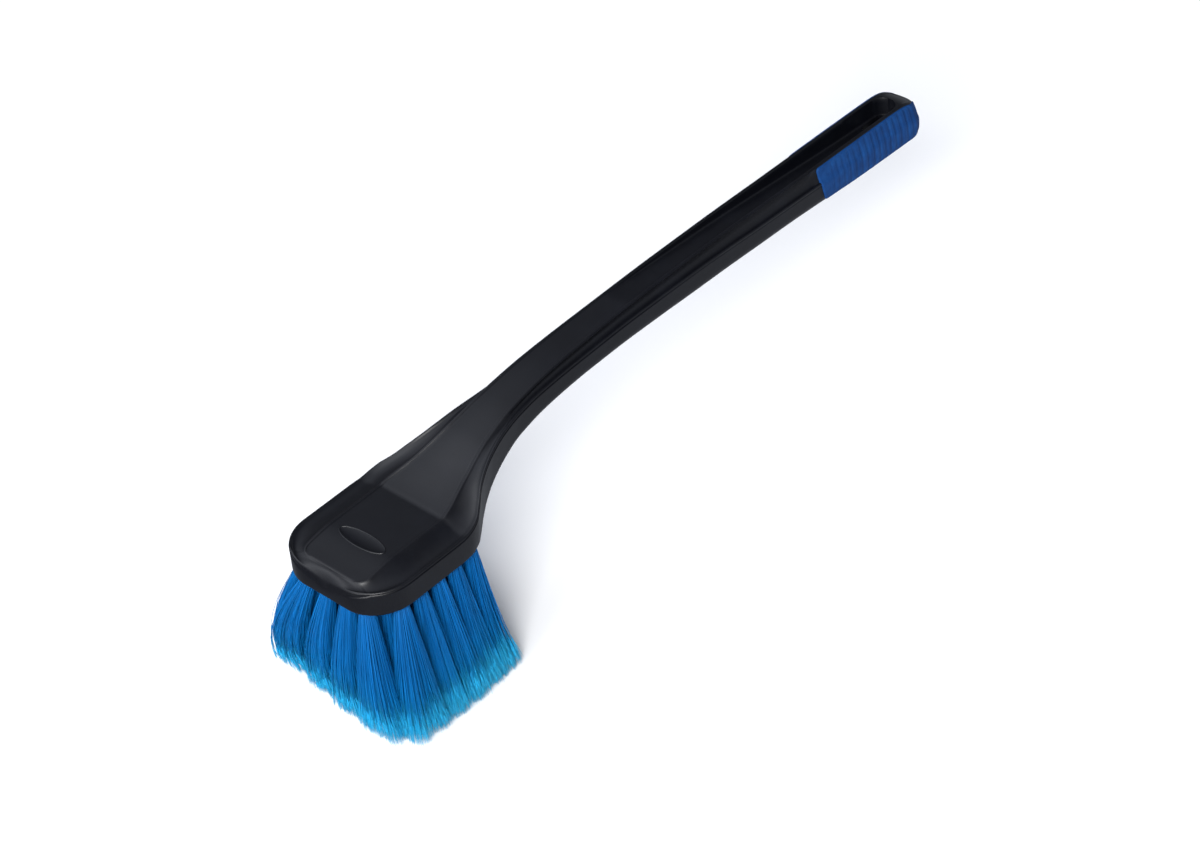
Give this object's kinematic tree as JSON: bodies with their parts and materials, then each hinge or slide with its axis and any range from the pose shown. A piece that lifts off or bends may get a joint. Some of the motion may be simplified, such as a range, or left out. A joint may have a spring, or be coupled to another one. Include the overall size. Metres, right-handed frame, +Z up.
{
  "type": "long-handled wheel brush",
  "caption": "Long-handled wheel and body wash brush: moulded block, cranked handle with hang slot, soft side grips and fanned bristle tufts.",
  "frame": {"origin": "on the plane of the trimmed bristle tips, under the middle of the brush's length and width", "axes": "+X from the block along the brush towards the handle's end, +Z up out of the back of the block, bristles pointing down, Y across, the brush being symmetric about Y = 0"},
  "size_m": [0.5134, 0.1192, 0.131],
  "materials": {
    "black_plastic": "satin moulded polypropylene",
    "grip_rubber": "matt soft-touch elastomer with fine cross ribs",
    "bristle": "soft crimped filament with flagged, lighter tips",
    "anchor_steel": "plain flat wire"
  },
  "bodies": {
    "root": {"handle_body": "black_plastic", "grip_right": "grip_rubber", "grip_left": "grip_rubber", "tuft_1_2": "bristle", "tuft_1_3": "bristle", "tuft_1_4": "bristle", "tuft_1_5": "bristle", "tuft_2_1": "bristle", "tuft_2_2": "bristle", "tuft_2_3": "bristle", "tuft_2_4": "bristle", "tuft_2_5": "bristle", "tuft_2_6": "bristle", "tuft_3_1": "bristle", "tuft_3_2": "bristle", "tuft_3_3": "bristle", "tuft_3_4": "bristle", "tuft_3_5": "bristle", "tuft_3_6": "bristle", "tuft_4_1": "bristle", "tuft_4_2": "bristle", "tuft_4_3": "bristle", "tuft_4_4": "bristle", "tuft_4_5": "bristle", "tuft_4_6": "bristle", "tuft_5_1": "bristle", "tuft_5_2": "bristle", "tuft_5_3": "bristle", "tuft_5_4": "bristle", "tuft_5_5": "bristle", "tuft_5_6": "bristle", "tuft_6_1": "bristle", "tuft_6_2": "bristle", "tuft_6_3": "bristle", "tuft_6_4": "bristle", "tuft_6_5": "bristle", "tuft_6_6": "bristle", "anchors_row_1": "anchor_steel", "anchors_row_2": "anchor_steel", "anchors_row_3": "anchor_steel", "anchors_row_4": "anchor_steel", "anchors_row_5": "anchor_steel", "anchors_row_6": "anchor_steel"}
  },
  "joints": []
}
